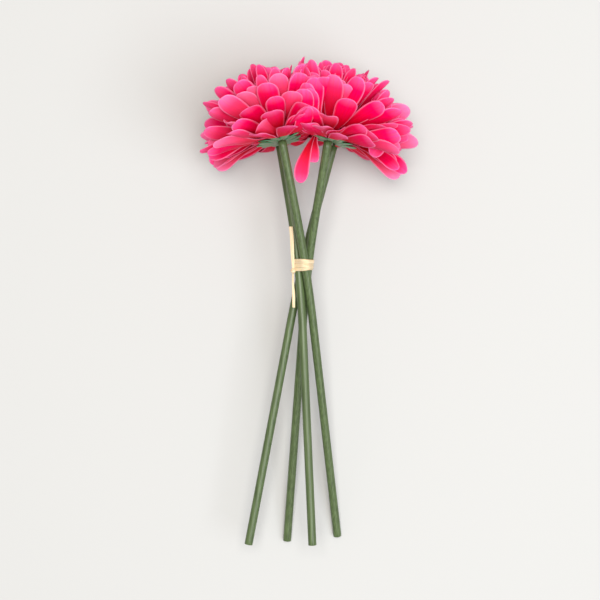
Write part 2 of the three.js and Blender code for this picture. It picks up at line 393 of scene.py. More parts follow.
@dataclass(frozen=True)
class RaffiaFibre:
    """Dried raffia palm leaf, split into strips.

    It looks dry and pale, with long straw-brown fibre lines that stand up a little.
    """

    pale: str = "EBDABB"
    body: str = "DCC7A0"
    line: str = "A88C60"
    # Fibres in millimetres, real ones are 0.1 to 0.2 wide and would be too fine to show.
    fibre_pitch: float = 0.42
    fibre_run: float = 20.0
    fibre_shift: float = 17.0  # how far apart in the pattern two strips lie
    roughness: float = 0.62
    depth_mm: float = 0.4

    def build(self) -> bpy.types.Material:
        """Makes the fibre's material.

        Returns:
            A material that reads the strip's own attributes.
        """
        material, tree = blank_material("split_raffia")
        parts = {
            axis: add_node(
                tree,
                "ShaderNodeAttribute",
                {"attribute_type": "GEOMETRY", "attribute_name": name},
            ).outputs["Fac"]
            for axis, name in (("X", "across_mm"), ("Y", "along_mm"), ("Z", "tone"))
        }
        place = add_node(tree, "ShaderNodeCombineXYZ", inputs=parts).outputs["Vector"]
        scale = (1 / self.fibre_pitch, 1 / self.fibre_run, self.fibre_shift)
        lines = add_node(tree, "ShaderNodeMapping", inputs={"Vector": place, "Scale": scale})
        grain = {"Vector": lines.outputs["Vector"], "Scale": 1.0, "Detail": 4.0}
        fibres = add_node(tree, "ShaderNodeTexNoise", inputs=grain).outputs["Fac"]
        colour = add_node(tree, "ShaderNodeValToRGB", inputs={"Fac": fibres})
        stops = colour.color_ramp.elements
        stops[0].position, stops[0].color = 0.24, linear(self.line)
        stops[1].position, stops[1].color = 0.7, linear(self.pale)
        stops.new(0.42).color = linear(self.body)
        coat = {
            "Base Color": colour.outputs["Color"],
            "Roughness": self.roughness,
            "Subsurface Weight": 0.08,
            "Subsurface Scale": 0.001,
        }
        end_material(tree, fibres, 0.6, self.depth_mm, coat)
        return material


@dataclass(frozen=True)
class PaintedBoard:
    """Board painted with emulsion by roller: pale, matt and even, with a nap hardly seen."""

    colour: str = "BFC2C2"
    nap_mm: float = 1.111
    roughness: float = 0.85
    depth_mm: float = 0.1

    def build(self) -> bpy.types.Material:
        """Makes the board's material.

        Returns:
            A material that reads Object coordinates.
        """
        material, tree = blank_material("rolled_emulsion_paint")
        place = add_node(tree, "ShaderNodeTexCoord").outputs["Object"]
        grain = {"Vector": place, "Scale": 1 / (MM * self.nap_mm), "Detail": 2.0}
        nap = add_node(tree, "ShaderNodeTexNoise", inputs=grain).outputs["Fac"]
        coat = {
            "Base Color": linear(self.colour),
            "Roughness": self.roughness,
            "Specular IOR Level": 0.2,
        }
        end_material(tree, nap, 0.04, self.depth_mm, coat)
        return material


# ---- Mesh helpers -------------------------------------------------------------------------


def finish_piece(
    bm: BMesh,
    name: str,
    node: str,
    materials: Sequence[bpy.types.Material],
) -> bpy.types.Object:
    """Turns a bmesh into a smooth-shaded piece that stands for a CAD node.

    Args:
        bm: The mesh in metres; it is freed.
        name: The piece's name.
        node: The CAD node that it replaces.
        materials: The piece's materials, in slot order.

    Returns:
        The new object.
    """
    mesh = bpy.data.meshes.new(name)
    bm.to_mesh(mesh)
    bm.free()
    for material in materials:
        mesh.materials.append(material)
    mesh.polygons.foreach_set("use_smooth", [True] * len(mesh.polygons))
    piece = bpy.data.objects.new(name, mesh)
    bpy.context.collection.objects.link(piece)
    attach(piece, "root")
    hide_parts(node)
    return piece


def thicken(piece: bpy.types.Object, millimetres: float, back_slot: int, offset: float) -> None:
    """Gives a sheet its thickness with a Solidify modifier.

    Args:
        piece: The sheet.
        millimetres: The sheet's thickness.
        back_slot: How many material slots on the back's material is.
        offset: -1 grows away from the faces' normals, 0 both ways.
    """
    shell = piece.modifiers.new("thickness", "SOLIDIFY")
    shell.thickness = millimetres * MM
    shell.offset = offset
    shell.material_offset = back_slot
    shell.use_even_offset = False
    shell.use_rim = True


def smooth_out(piece: bpy.types.Object, levels: int = 1) -> None:
    """Rounds a piece with a Subdivision Surface modifier.

    Args:
        piece: The piece.
        levels: How many times its faces are divided.
    """
    surface = piece.modifiers.new("rounding", "SUBSURF")
    surface.levels = levels
    surface.render_levels = levels


# ---- The four flowers: their stem routes and head frames ----------------------------------


@dataclass(frozen=True)
class StemRoute:
    """The centre line of a stem: x and z at the cut end, at the tie and at the head."""

    cut: tuple[float, float]
    tie: tuple[float, float]
    head: tuple[float, float]
    cut_y: float

    def point(self, y: float) -> Vector:
        """Gives the centre line's point, in millimetres, where it crosses y."""
        x, z = (self._bend(*legs, y) for legs in zip(self.cut, self.tie, self.head))
        return Vector((x, y, z)) + FRAME_SHIFT

    @staticmethod
    def _bend(cut: float, tie: float, head: float, y: float) -> float:
        """Follows two straight legs with a smooth turn around the tie.

        Args:
            cut: The x or z at the cut end.
            tie: The same at the tie.
            head: The same at the head.
            y: Where along the stem.

        Returns:
            The x or z there.
        """
        before = (tie - cut) / (TIE_Y - STEM_CUT_Y)
        after = (head - tie) / (STEM_TOP_Y - TIE_Y)
        d = y - TIE_Y
        corner = (after - before) * BEND_SPAN / 4
        if d < -BEND_SPAN:
            return tie - corner + before * d
        if d > BEND_SPAN:
            return tie - corner + after * d
        turn = (after - before) / (4 * BEND_SPAN)
        return tie - corner + before * d + turn * (d + BEND_SPAN) ** 2


@dataclass(frozen=True)
class HeadFrame:
    """A flower head's own axes: origin at the stem top, azimuth 0 is up and 90 is right."""

    origin: Vector
    axis: Vector
    up: Vector
    right: Vector

    @classmethod
    def on(cls, route: StemRoute) -> "HeadFrame":
        """Puts a frame on the top of a stem.

        Args:
            route: The stem's centre line.

        Returns:
            The head's frame.
        """
        origin = route.point(STEM_TOP_Y)
        axis = (origin - route.point(STEM_TOP_Y - 2)).normalized()
        right = axis.cross(Vector((0, 0, 1))).normalized()
        return cls(origin, axis, right.cross(axis).normalized(), right)

    def radial(self, azimuth: float) -> Vector:
        """Gives the direction that points away from the axis at an azimuth."""
        return self.up * math.cos(azimuth) + self.right * math.sin(azimuth)

    def tangent(self, azimuth: float) -> Vector:
        """Gives the direction that runs round the axis at an azimuth."""
        return self.right * math.cos(azimuth) - self.up * math.sin(azimuth)


@dataclass(frozen=True)
class Droop:
    """A stretch of a head's azimuth, in degrees, where the outer petals hang at a slope.

    The reach is a share of the petals' length. Free ones have no neighbour to press them.
    """

    start: float
    end: float
    slope: float
    reach: float = 1.0
    free: bool = False


@dataclass(frozen=True)
class Flower:
    """One flower of the bunch: its name, stem route, seed and how its petals lean and hang.

    The tilt, in degrees, lifts the outer petals on the upper side and lowers those below.
    """

    name: str
    route: StemRoute
    seed: int
    tilt: float
    droops: tuple[Droop, ...] = ()


FLOWERS = (
    Flower(
        "upper_left",
        StemRoute((29.3, 3.5), (4.01, 58.3), (-14.5, 87.0), -190.2),
        11,
        19.0,
        (Droop(256, 270, -12.0), Droop(270, 298, 5.0)),
    ),
    Flower(
        "upper_right",
        StemRoute((-9.1, 5.3), (6.64, 51.6), (22.3, 84.0), -193.8),
        23,
        19.0,
        (
            Droop(262, 280, -81.0, 0.86, True),
            Droop(248, 262, -97.0, 0.5, True),
            Droop(62, 92, 8.0),
            Droop(92, 106, -6.0),
        ),
    ),
    Flower(
        "lower_left",
        StemRoute((8.3, 46.3), (-1.53, 51.8), (-17.0, 45.0), -190.9),
        37,
        2.0,
        (Droop(250, 272, -18.0), Droop(272, 300, -17.0)),
    ),
    Flower(
        "lower_right",
        StemRoute((-39.4, 35.3), (2.05, 45.4), (27.0, 43.0), -192.0),
        51,
        2.0,
        (Droop(58, 98, -14.0), Droop(98, 112, -27.0)),
    ),
)


# ---- Heads, stems and tie -----------------------------------------------------------------


@dataclass(frozen=True)
class Barrier:
    """A plane that petals bend along: points on their side have normal . point <= limit."""

    normal: Vector
    limit: float


@dataclass(frozen=True)
class RowPlan:
    """One ring of blades: how many, its hub's radius and height over the stem top, and their form.

    The slope is the blades' own over the hub's plane, and half the change from root to tip is
    the curl, both in degrees.
    """

    count: int
    radius: float
    height: float
    length: float
    width: float
    slope: float
    curl: float


ROWS = (
    RowPlan(14, 11.0, 5.2, 53.0, 14.6, 0.0, 5.0),
    RowPlan(15, 9.8, 7.2, 55.5, 16.0, 10.0, 5.0),
    RowPlan(14, 8.6, 9.2, 55.0, 16.0, 25.0, 6.0),
    RowPlan(12, 7.3, 11.2, 54.0, 16.0, 42.0, 6.0),
    RowPlan(10, 6.1, 13.2, 50.0, 15.0, 58.0, 6.0),
    RowPlan(8, 4.9, 15.2, 44.0, 11.5, 73.0, 5.0),
)
TUFT = RowPlan(26, 2.6, 17.2, 36.0, 2.6, 83.0, 3.0)
CALYX = RowPlan(10, 6.5, 2.4, 13.0, 8.6, 0.0, 1.0)


@dataclass
class Petal:
    """One petal's place and form. Angles are radians and lengths millimetres."""

    azimuth: float
    slope: float
    curl: float
    length: float
    width: float
    sector: float
    lift: float = 0.0
    inset: float = 0.0
    hangs: bool = False
    free: bool = False
    twist: float = 0.0
    cup: float = 0.008
    wave: float = 0.0
    tip_curl: float = 0.0
    sway: float = 0.0
    tone: float = 0.0
    phase: float = 0.0


@dataclass
class Crowding:
    """Bends the petals of one head along the neighbouring heads and the surface."""

    frame: HeadFrame
    barriers: list[Barrier] = field(default_factory=list)
    neighbour_gap: float = 0.9
    surface_gap: float = 0.7
    softness: float = 9.0  # how far before a barrier a petal starts to bend
    middle_height: float = 30.0  # of a head's middle over its stem's top
    retreat: float = 0.35  # how fast, at most, a petal that is past a barrier turns back
    steepest: float = 94.0

    def face(self, others: Sequence[HeadFrame]) -> None:
        """Sets up the barriers halfway to each other head, and the surface.

        Args:
            others: The frames of the other heads.
        """
        centre = self.frame.origin + self.frame.axis * self.middle_height
        for other in others:
            there = other.origin + other.axis * self.middle_height
            normal = (there - centre).normalized()
            limit = normal.dot((there + centre) / 2) - self.neighbour_gap
            self.barriers.append(Barrier(normal, limit))
        self.barriers.append(Barrier(Vector((0, 0, -1)), -self.surface_gap))

    def bend(self, petal: Petal, r: float, h: float, angle: float) -> float:
        """Turns a petal's slope away from the barriers that it comes near.

        Args:
            petal: The petal.
            r: How far from the axis it has come.
            h: How high over the stem top it has come.
            angle: The slope it would have by itself.

        Returns:
            The slope it takes there.
        """
        out = self.frame.radial(petal.azimuth)
        place = self.frame.origin + out * r + self.frame.axis * h
        for barrier in self.barriers[-1:] if petal.free else self.barriers:
            a = barrier.normal.dot(out)
            b = barrier.normal.dot(self.frame.axis)
            size = math.hypot(a, b)
            room = barrier.limit - petal.inset - barrier.normal.dot(place)
            pace = max(-self.retreat, room / self.softness)
            if pace >= size:
                continue
            lean = math.atan2(b, a)
            swing = math.acos(max(-1.0, pace / size))
            if lean - swing < angle < lean + swing:
                angle = lean - swing if petal.hangs else lean + swing
        return min(angle, math.radians(self.steepest))


@dataclass(frozen=True)
class BladeShape:
    """The outline of a blade: shares of its length, its half width there and a tip bow."""

    stations: tuple[float, ...]
    widths: tuple[float, ...]
    bows: tuple[float, ...]
    columns: int = 4


PETAL_SHAPE = BladeShape(
    (0.0, 0.15, 0.32, 0.5, 0.66, 0.8, 0.91, 1.0),
    (0.36, 0.44, 0.62, 0.83, 0.97, 1.0, 0.86, 0.5),
    (0.0, 0.0, 0.0, 0.0, 0.0, 0.004, 0.014, 0.032),
)
BRACT_SHAPE = BladeShape(
    (0.0, 0.3, 0.6, 0.85, 1.0), (0.8, 1.0, 1.0, 0.84, 0.42), (0.0, 0.0, 0.0, 0.02, 0.04), 2
)
FLORET_SHAPE = BladeShape(
    (0.0, 0.4, 0.75, 0.92, 1.0), (0.6, 0.7, 1.0, 1.1, 0.5), (0.0, 0.0, 0.0, 0.0, 0.06), 2
)


@dataclass
class BladeMaker:
    """Adds petals, bracts or florets to one bmesh, with the attributes a finish reads."""

    head: HeadFrame
    crowding: Crowding
    shape: BladeShape
    resting_height: float = 0.8
    resting_play: float = 0.8  # how much higher some blades rest than others
    hole: float = 1.4
    hub_sides: int = 24
    # The pale rim that the hub is kept from is a painted highlight.
    hub_edge: float = 3.0  # the hub counts as this far from an edge, so it has no pale rim
    root_depth: float = 1.0  # how far a blade's root reaches into the hub
    steps: int = 12  # between two stations
    tip_start: float = 0.55  # the share of its length where a tip starts to curl
    root_cup: float = 0.4  # the share of its cup that a blade has at its root
    wrap_radius: float = 9.0  # a standing blade curves round the axis no tighter than this
    groove: float = 0.35
    groove_width: float = 0.3
    ripples: float = 1.6  # along each edge
    least_radius: float = 2.0
    free_spread: float = 27.0
    widest_spread: float = 40.0
    sector_share: float = 0.62
    bm: BMesh = field(default_factory=bmesh.new)

    def __post_init__(self) -> None:
        """Creates the attribute layers."""
        layers = self.bm.verts.layers.float
        self.layers = {
            name: layers.new(name) for name in ("along", "across_mm", "edge_mm", "tone")
        }

    def hub(self, row: RowPlan) -> None:
        """Adds the flat ring in the middle of a disc, which comes before its blades.

        Args:
            row: The disc's plan.
        """
        bmesh.ops.create_circle(self.bm, segments=self.hub_sides, radius=self.hole)
        grown = bmesh.ops.extrude_edge_only(self.bm, edges=self.bm.edges[:])["geom"]
        outer = [item for item in grown if isinstance(item, BMVert)]
        share = row.radius / self.hole
        bmesh.ops.scale(self.bm, vec=Vector((share, share, 1)), verts=outer)
        faces = self.bm.faces[:]
        bmesh.ops.recalc_face_normals(self.bm, faces=faces)
        if faces[0].normal.z < 0:
            bmesh.ops.reverse_faces(self.bm, faces=faces)
        head = self.head
        for vert in self.bm.verts:
            x, y, _ = vert.co
            vert.co = (head.origin + head.up * x + head.right * y + head.axis * row.height) * MM
            vert[self.layers["edge_mm"]] = self.hub_edge

    def blade(self, row: RowPlan, petal: Petal) -> None:
        """Adds one blade, laid along its curl.

        Args:
            row: The ring it belongs to.
            petal: Its place and form.
        """
        last = len(self.shape.stations) - 1
        columns = self.shape.columns
        grid = bmesh.ops.create_grid(self.bm, x_segments=columns, y_segments=last, size=1.0)
        path = self._path(row, petal)
        for vert in grid["verts"]:
            step = round((vert.co.y + 1) / 2 * last)
            self._place(vert, vert.co.x, step, petal, path)

    def _path(self, row: RowPlan, petal: Petal) -> list[tuple[float, float, float]]:
        """Follows the blade's middle line from its root to its tip.

        Args:
            row: The ring it belongs to.
            petal: Its place and form.

        Returns:
            Radius, height and slope at each of the outline's stations.
        """
        r, h = row.radius - self.root_depth, row.height + petal.lift
        points = [(r, h, (petal.slope - petal.curl) * 0.5)]
        stations = self.shape.stations
        for low, high in zip(stations, stations[1:]):
            for k in range(self.steps):
                share = low + (high - low) * (k + 0.5) / self.steps
                angle = petal.slope - petal.curl + 2 * petal.curl * share
                angle = self.crowding.bend(petal, r, h, angle)
                tip = max(0.0, (share - self.tip_start) / (1 - self.tip_start))
                angle += petal.tip_curl * tip**2
                step = petal.length * (high - low) / self.steps
                r += step * math.cos(angle)
                h += step * math.sin(angle)
            points.append((r, h, angle))
        return points

    def _place(
        self,
        vert: BMVert,
        u: float,
        step: int,
        petal: Petal,
        path: Sequence[tuple[float, float, float]],
    ) -> None:
        """Moves one grid vertex to its place on the blade and stores its attributes.

        Args:
            vert: The vertex.
            u: How far across the blade it is, from -1 to 1.
            step: The station along the blade that it is at.
            petal: The blade's place and form.
            path: Radius, height and slope at each station.
        """
        share = self.shape.stations[step]
        r, h, angle = path[step]
        half = petal.width / 2 * self.shape.widths[step]
        half = min(half, max(r, self.least_radius) * math.tan(self._spread_limit(petal)))
        t = u * half
        bow = -self.shape.bows[step] * u * u * petal.length
        wrap = max(0.0, math.sin(angle)) / (2 * max(r, self.wrap_radius))
        curve = petal.cup * (self.root_cup + share) + wrap
        groove = self.groove * math.exp(-((u / self.groove_width) ** 2))
        rise = curve * t * t - groove * min(1.0, 3 * share)
        ripple = math.sin(2 * math.pi * (self.ripples * share + petal.phase))
        rise += petal.wave * abs(u) ** 3 * ripple
        turn = petal.twist * (1 - (1 - share) ** 2)
        head = self.head
        out = head.radial(petal.azimuth)
        side = head.tangent(petal.azimuth)
        along = out * math.cos(angle) + head.axis * math.sin(angle)
        face = head.axis * math.cos(angle) - out * math.sin(angle)
        wide = side * math.cos(turn) + face * math.sin(turn)
        deep = face * math.cos(turn) - side * math.sin(turn)
        place = head.origin + out * r + head.axis * h
        place += side * petal.sway * share * share
        spot = place - wide * t + deep * rise + along * bow
        spot.z = max(spot.z, self.resting_height + self.resting_play * petal.phase)
        vert.co = spot * MM
        to_side = (1 - abs(u)) * half
        to_tip = (1 - share) * petal.length + (1 - u * u)
        vert[self.layers["along"]] = share
        vert[self.layers["across_mm"]] = t
        vert[self.layers["edge_mm"]] = min(to_side, to_tip)
        vert[self.layers["tone"]] = petal.tone

    def _spread_limit(self, petal: Petal) -> float:
        """Gives the half angle a blade may take up near the axis.

        Args:
            petal: The blade's place and form.

        Returns:
            The angle in radians.
        """
        if petal.free:
            return math.radians(self.free_spread)
        return min(petal.sector * self.sector_share, math.radians(self.widest_spread))


@dataclass(frozen=True)
class Variety:
    """How single petals differ from their disc's plan. A pair is a range, one number a spread.

    Angles are degrees, but the azimuth is in radians. The slope has a number for each disc.
    """

    slope: tuple[float, ...] = (3.0, 7.0, 11.0, 11.0, 8.0, 6.0)
    azimuth: float = 0.11
    length: tuple[float, float] = (0.87, 1.03)
    width: tuple[float, float] = (0.84, 1.16)
    inset: tuple[float, float] = (-2.6, 2.2)
    twist: float = 15.0
    roll: tuple[float, float] = (0.8, 1.25)
    cup: tuple[float, float] = (0.008, 0.024)
    wave: tuple[float, float] = (0.2, 0.9)
    outer_wave: tuple[float, float] = (0.2, 1.7)
    tip_curl: tuple[float, float] = (-26.0, 16.0)
    outer_tip_curl: tuple[float, float] = (-8.0, 16.0)
    sway: float = 1.8
    tone_power: float = 1.6
    outer_discs: int = 2
    steep_slope: float = 50.0
    steep_twist: float = 11.0
    steep_cup: float = 0.5


@dataclass(frozen=True)
class BractForm:
    """How the calyx's bracts lie: pressed to the petals, a little uneven. Angles are degrees."""

    start: float = 0.2  # the first one's azimuth, in radians
    curl: float = 0.02  # in radians
    slope: float = 5.0
    tilt_share: float = 0.8
    lowest: float = -12.0
    over_petals: float = 14.0
    play: float = 5.0
    wave: float = 0.35
    cup: float = 0.02
    thickness: float = 0.6


@dataclass(frozen=True)
class FloretForm:
    """How the centre's florets stand: close together, uneven in length, with curled tips."""

    lean: float = 14.0
    length: tuple[float, float] = (0.78, 1.0)
    width: tuple[float, float] = (0.8, 1.3)
    tip_curl: tuple[float, float] = (-50.0, 20.0)
    tone: float = 0.6
    wave: float = 0.5
    overlap: float = 2.0
    thickness: float = 0.3


@dataclass
class FlowerHead:
    """One double gerbera head: calyx, six petal discs and a centre tuft."""

    flower: Flower
    frame: HeadFrame
    crowding: Crowding
    inner: bpy.types.Material
    outer: bpy.types.Material
    green: bpy.types.Material
    deep: bpy.types.Material
    variety: Variety = Variety()
    bracts: BractForm = BractForm()
    florets: FloretForm = FloretForm()
    petal_thickness: float = 0.32
    layers: tuple[int, ...] = (2, 1, 1, 1, 1, 1)  # of cloth in each disc
    layer_lift: float = 1.6
    layer_shortening: float = 0.04
    disc_turn: float = 0.37  # of half a turn, from one disc to the next
    head_turn: float = 0.21  # of half a turn, from one head to the next
    inset_step: float = 1.2
    leaning_rows: float = 5.0
    lowest_slope: float = -1.0
    second_slope: float = 4.0  # the least slope of the second disc
    hanging_curl: float = -14.0
    layer_ease: float = 0.45  # how much less an upper layer hangs
    side_roll: float = 50.0
    upright_roll: float = 0.45  # the share of its roll that an upright petal keeps
    hanging_roll: float = 62.0
    free_roll: float = 84.0
    squeeze: float = 0.7
    mingling: float = 7.0  # how far petals of two heads may reach past each other
    # How much deeper, as painted shade, a petal that faces a neighbouring head is coloured.
    pressed_painted_shade: float = 0.6
    free_tone: float = 0.62
    free_width: float = 0.86

    def __post_init__(self) -> None:
        """Seeds the head's own small differences."""
        self.chance = random.Random(self.flower.seed)

    def arrange(self, row: RowPlan, level: int, index: int) -> list[Petal]:
        """Places the petals of one disc, in each layer of cloth that it is cut from.

        Args:
            row: The disc's plan.
            level: How many discs lie under it.
            index: The head's place in the bunch, which turns its discs a little.

        Returns:
            The disc's petals.
        """
        sector = 2 * math.pi / row.count
        start = (level * self.disc_turn + index * self.head_turn) * math.pi
        above = ROWS[min(level + 1, len(ROWS) - 1)].slope
        leaning = max(0.0, 1 - level / self.leaning_rows)
        petals = []
        for layer in range(self.layers[level]):
            share = layer / self.layers[level]
            for i in range(row.count):
                azimuth = start + (i + share) * sector
                slope = row.slope + share * (above - row.slope)
                slope += self.flower.tilt * leaning * math.cos(azimuth)
                petal = Petal(
                    azimuth,
                    math.radians(max(slope, self.lowest_slope)),
                    math.radians(row.curl),
                    row.length * (1 - self.layer_shortening * share),
                    row.width,
                    sector,
                    lift=share * self.layer_lift,
                    inset=(level + share) * self.inset_step,
                )
                if level == 0:
                    self._hang(petal, share)
                elif level == 1:
                    petal.slope = max(petal.slope, math.radians(self.second_slope))
                self._vary(petal, level)
                self._squeeze(petal, share)
                petals.append(petal)
        return petals

    def _hang(self, petal: Petal, share: float) -> None:
        """Lets an outer petal hang where it stands in a drooping stretch of the head.

        Args:
            petal: The petal.
            share: 0 for the disc's lower layer, more for an upper one.
        """
        turn = math.degrees(petal.azimuth) % 360
        for droop in self.flower.droops:
            if droop.start < turn < droop.end:
                ease = 1.0 if droop.free else 1 - self.layer_ease * share
                petal.slope = math.radians(droop.slope * ease)
                petal.hangs = droop.slope < 0
                petal.free = droop.free
                petal.length *= droop.reach
        if petal.hangs:
            petal.curl = math.radians(self.hanging_curl)

    def _squeeze(self, petal: Petal, share: float) -> None:
        """Shortens and mingles a petal facing another head, and darkens it as painted shade.

        Args:
            petal: The petal.
            share: 0 for the disc's lower layer, more for an upper one.
        """
        out = self.frame.radial(petal.azimuth)
        facing = max(wall.normal.dot(out) for wall in self.crowding.barriers[:-1])
        pressed = max(0.0, facing)
        mingled = self.mingling * pressed * self.chance.random()
        if petal.free:
            petal.tone = self.free_tone
            petal.width *= self.free_width
            return
        petal.length *= 1 - self.squeeze * pressed * share
        petal.inset -= mingled
        # Painted shade: a lower tone keeps a petal deeper in colour in the valley between two
        # heads.
        petal.tone *= 1 - self.pressed_painted_shade * pressed

    def _roll(self, petal: Petal) -> float:
        """Gives how far a side petal rolls: its back turns up, or its face where it hangs.

        Args:
            petal: The petal.

        Returns:
            The roll, in radians, of a petal that stands out to the side.
        """
        if petal.free:
            return math.radians(-self.free_roll)
        if petal.hangs:
            return math.radians(-self.hanging_roll)
        lying = (1 - self.upright_roll) * math.cos(petal.slope)
        return math.radians(self.side_roll) * (self.upright_roll + lying)

    def _vary(self, petal: Petal, level: int) -> None:
        """Gives one petal its own length, width, twist, cup and tone.

        Args:
            petal: The petal.
            level: How many discs lie under its own.
        """
        chance, own = self.chance, self.variety
        steep = petal.slope > math.radians(own.steep_slope)
        outer = level < own.outer_discs
        petal.slope += math.radians(chance.uniform(-own.slope[level], own.slope[level]))
        petal.azimuth += chance.uniform(-own.azimuth, own.azimuth)
        petal.length *= chance.uniform(*own.length)
        petal.width *= chance.uniform(*own.width)
        petal.inset += chance.uniform(*own.inset)
        petal.twist = math.radians(chance.gauss(0, own.steep_twist if steep else own.twist))
        petal.twist -= self._roll(petal) * math.sin(petal.azimuth) * chance.uniform(*own.roll)
        petal.cup = chance.uniform(*own.cup) * (own.steep_cup if steep else 1.0)
        petal.wave = chance.uniform(*(own.outer_wave if outer else own.wave))
        petal.phase = chance.random()
        tip_curl = own.outer_tip_curl if outer else own.tip_curl
        petal.tip_curl = math.radians(chance.uniform(*tip_curl))
        petal.sway = chance.gauss(0, own.sway)
        petal.tone = chance.random() ** own.tone_power

    def build(self) -> list[bpy.types.Object]:
        """Makes the calyx, the petal discs and the tuft.

        Returns:
            The new pieces.
        """
        index = FLOWERS.index(self.flower)
        pieces = [self._calyx()]
        for level, row in enumerate(ROWS):
            petals = self.arrange(row, level, index)
            name, node = f"petals_{level + 1}", f"petal_row_{level + 1}"
            faces = (self.inner, self.outer)
            disc = self._ring(row, PETAL_SHAPE, petals, name, node, faces)
            thicken(disc, self.petal_thickness, 1, -1.0)
            pieces.append(disc)
        pieces.append(self._tuft())
        for piece in pieces:
            smooth_out(piece)
        return pieces

    def _ring(
        self,
        row: RowPlan,
        shape: BladeShape,
        blades: Sequence[Petal],
        name: str,
        node: str,
        materials: Sequence[bpy.types.Material],
    ) -> bpy.types.Object:
        """Makes one hub with its ring of blades as one piece.

        Args:
            row: The ring's plan.
            shape: The blades' outline.
            blades: The place and form of each blade.
            name: The piece's name, without the flower's.
            node: The CAD node that it replaces, without the flower's name.
            materials: The materials of the blades' faces and backs.

        Returns:
            The new piece, still without thickness.
        """
        maker = BladeMaker(self.frame, self.crowding, shape)
        maker.hub(row)
        for blade in blades:
            maker.blade(row, blade)
        flower = self.flower.name
        return finish_piece(maker.bm, f"{flower}_{name}", f"{flower}_{node}", materials)

    def _calyx(self) -> bpy.types.Object:
        """Makes the star of green bracts, pressed under the petals.

        Returns:
            The new piece.
        """
        form, chance = self.bracts, self.chance
        sector = 2 * math.pi / CALYX.count
        bracts = []
        for i in range(CALYX.count):
            azimuth = form.start + i * sector
            slope = form.slope + form.tilt_share * self.flower.tilt * math.cos(azimuth)
            for droop in self.flower.droops:
                if droop.start < math.degrees(azimuth) % 360 < droop.end:
                    slope = min(slope, max(droop.slope, form.lowest) + form.over_petals)
            bract = Petal(
                azimuth, math.radians(slope), form.curl, CALYX.length, CALYX.width, sector
            )
            bract.twist = math.radians(chance.uniform(-form.play, form.play))
            bract.tip_curl = math.radians(chance.uniform(-form.play, form.play))
            bract.phase = chance.random()
            bract.wave, bract.cup = form.wave, form.cup
            bracts.append(bract)
        sheet = (self.green,)
        star = self._ring(CALYX, BRACT_SHAPE, bracts, "bract_star", "calyx", sheet)
        thicken(star, form.thickness, 0, 0.0)
        return star

    def _tuft(self) -> bpy.types.Object:
        """Makes the fringed centre florets.

        Returns:
            The new piece.
        """
        form, chance = self.florets, self.chance
        sector = 2 * math.pi / TUFT.count
        florets = [
            Petal(
                i * sector,
                math.radians(TUFT.slope - chance.uniform(0, form.lean)),
                math.radians(TUFT.curl),
                TUFT.length * chance.uniform(*form.length),
                TUFT.width * chance.uniform(*form.width),
                sector * form.overlap,
                inset=len(ROWS) * self.inset_step,
                tip_curl=math.radians(chance.uniform(*form.tip_curl)),
                tone=chance.random() * form.tone,
                phase=chance.random(),
                wave=form.wave,
            )
            for i in range(TUFT.count)
        ]
        cloth = (self.deep, self.deep)
        tuft = self._ring(TUFT, FLORET_SHAPE, florets, "florets", "centre_tuft", cloth)
        thicken(tuft, form.thickness, 1, -1.0)
        return tuft


